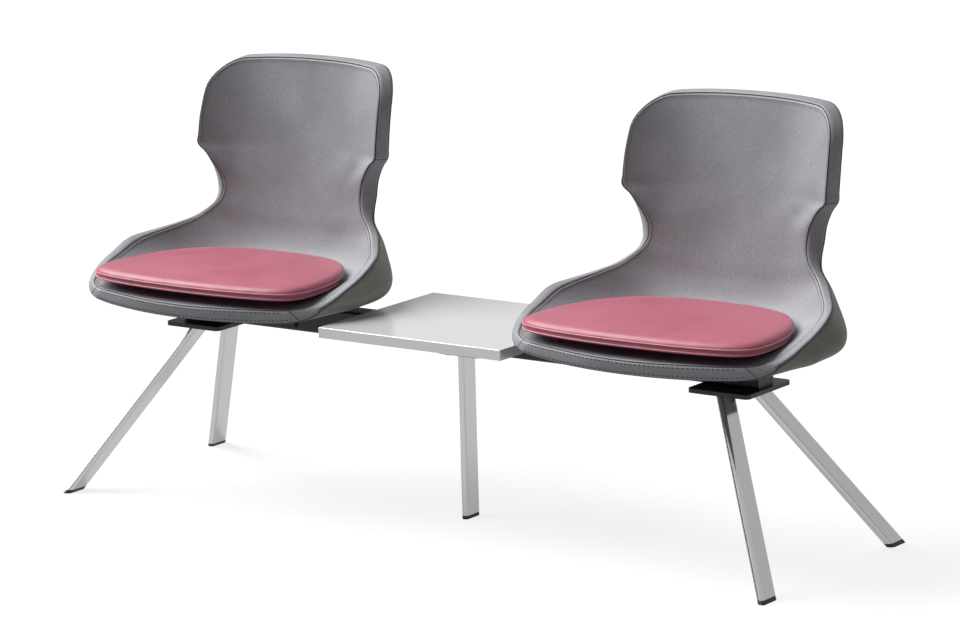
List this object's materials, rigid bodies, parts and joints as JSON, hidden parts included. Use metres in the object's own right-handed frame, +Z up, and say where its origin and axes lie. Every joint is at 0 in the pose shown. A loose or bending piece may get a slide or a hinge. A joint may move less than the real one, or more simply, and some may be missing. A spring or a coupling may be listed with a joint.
{
  "type": "beam seating",
  "caption": "Beam bench with upholstered shell seats, loose seat pads and a small table, on splayed end legs and a centre leg.",
  "frame": {"origin": "on the floor under the middle of the beam, at the centre of the centre leg's foot", "axes": "+X along the beam, -Y the side the seats face, +Z up"},
  "size_m": [1.6482, 0.4982, 0.814],
  "materials": {
    "shell_leather": "smooth grey leather",
    "pad_leather": "smooth rose leather",
    "foam": "cut foam",
    "moulded_core": "moulded, hidden",
    "pad_board": "plain board",
    "chrome": "polished chrome plate",
    "table_steel": "satin, pale grey",
    "black_steel": "black powder coat",
    "black_plastic": "moulded",
    "zinc": "zinc plated"
  },
  "bodies": {
    "root": {"angle_bolts_left": "zinc", "angle_bolts_right": "zinc", "beam_end_cap_left": "black_plastic", "beam_end_cap_right": "black_plastic", "beam_tube": "black_steel", "border_band_left": "shell_leather", "border_band_right": "shell_leather", "centre_leg": "chrome", "centre_leg_bolts": "zinc", "centre_leg_flange": "black_steel", "cross_bolts_left": "zinc", "cross_bolts_right": "zinc", "cross_nuts_left": "zinc", "cross_nuts_right": "zinc", "foam_layer_left": "foam", "foam_layer_right": "foam", "glide_centre": "black_plastic", "glide_front_left": "black_plastic", "glide_front_right": "black_plastic", "glide_rear_left": "black_plastic", "glide_rear_right": "black_plastic", "inner_cover_left": "shell_leather", "inner_cover_right": "shell_leather", "leg_front_left": "chrome", "leg_front_right": "chrome", "leg_head_bolts_left": "zinc", "leg_head_bolts_right": "zinc", "leg_head_plate_left": "black_steel", "leg_head_plate_right": "black_steel", "leg_rear_left": "chrome", "leg_rear_right": "chrome", "moulded_shell_left": "moulded_core", "moulded_shell_right": "moulded_core", "outer_cover_left": "shell_leather", "outer_cover_right": "shell_leather", "seat_angle_front_inner_left": "black_steel", "seat_angle_front_inner_right": "black_steel", "seat_angle_front_outer_left": "black_steel", "seat_angle_front_outer_right": "black_steel", "seat_angle_rear_inner_left": "black_steel", "seat_angle_rear_inner_right": "black_steel", "seat_angle_rear_outer_left": "black_steel", "seat_angle_rear_outer_right": "black_steel", "seat_carrier_left": "black_steel", "seat_carrier_right": "black_steel", "seat_pad_base_left": "pad_board", "seat_pad_base_right": "pad_board", "seat_pad_cushion_left": "pad_leather", "seat_pad_cushion_right": "pad_leather", "shell_bolts_left": "zinc", "shell_bolts_right": "zinc", "table_plate": "black_steel", "table_screws": "zinc", "table_top": "table_steel"}
  },
  "joints": []
}
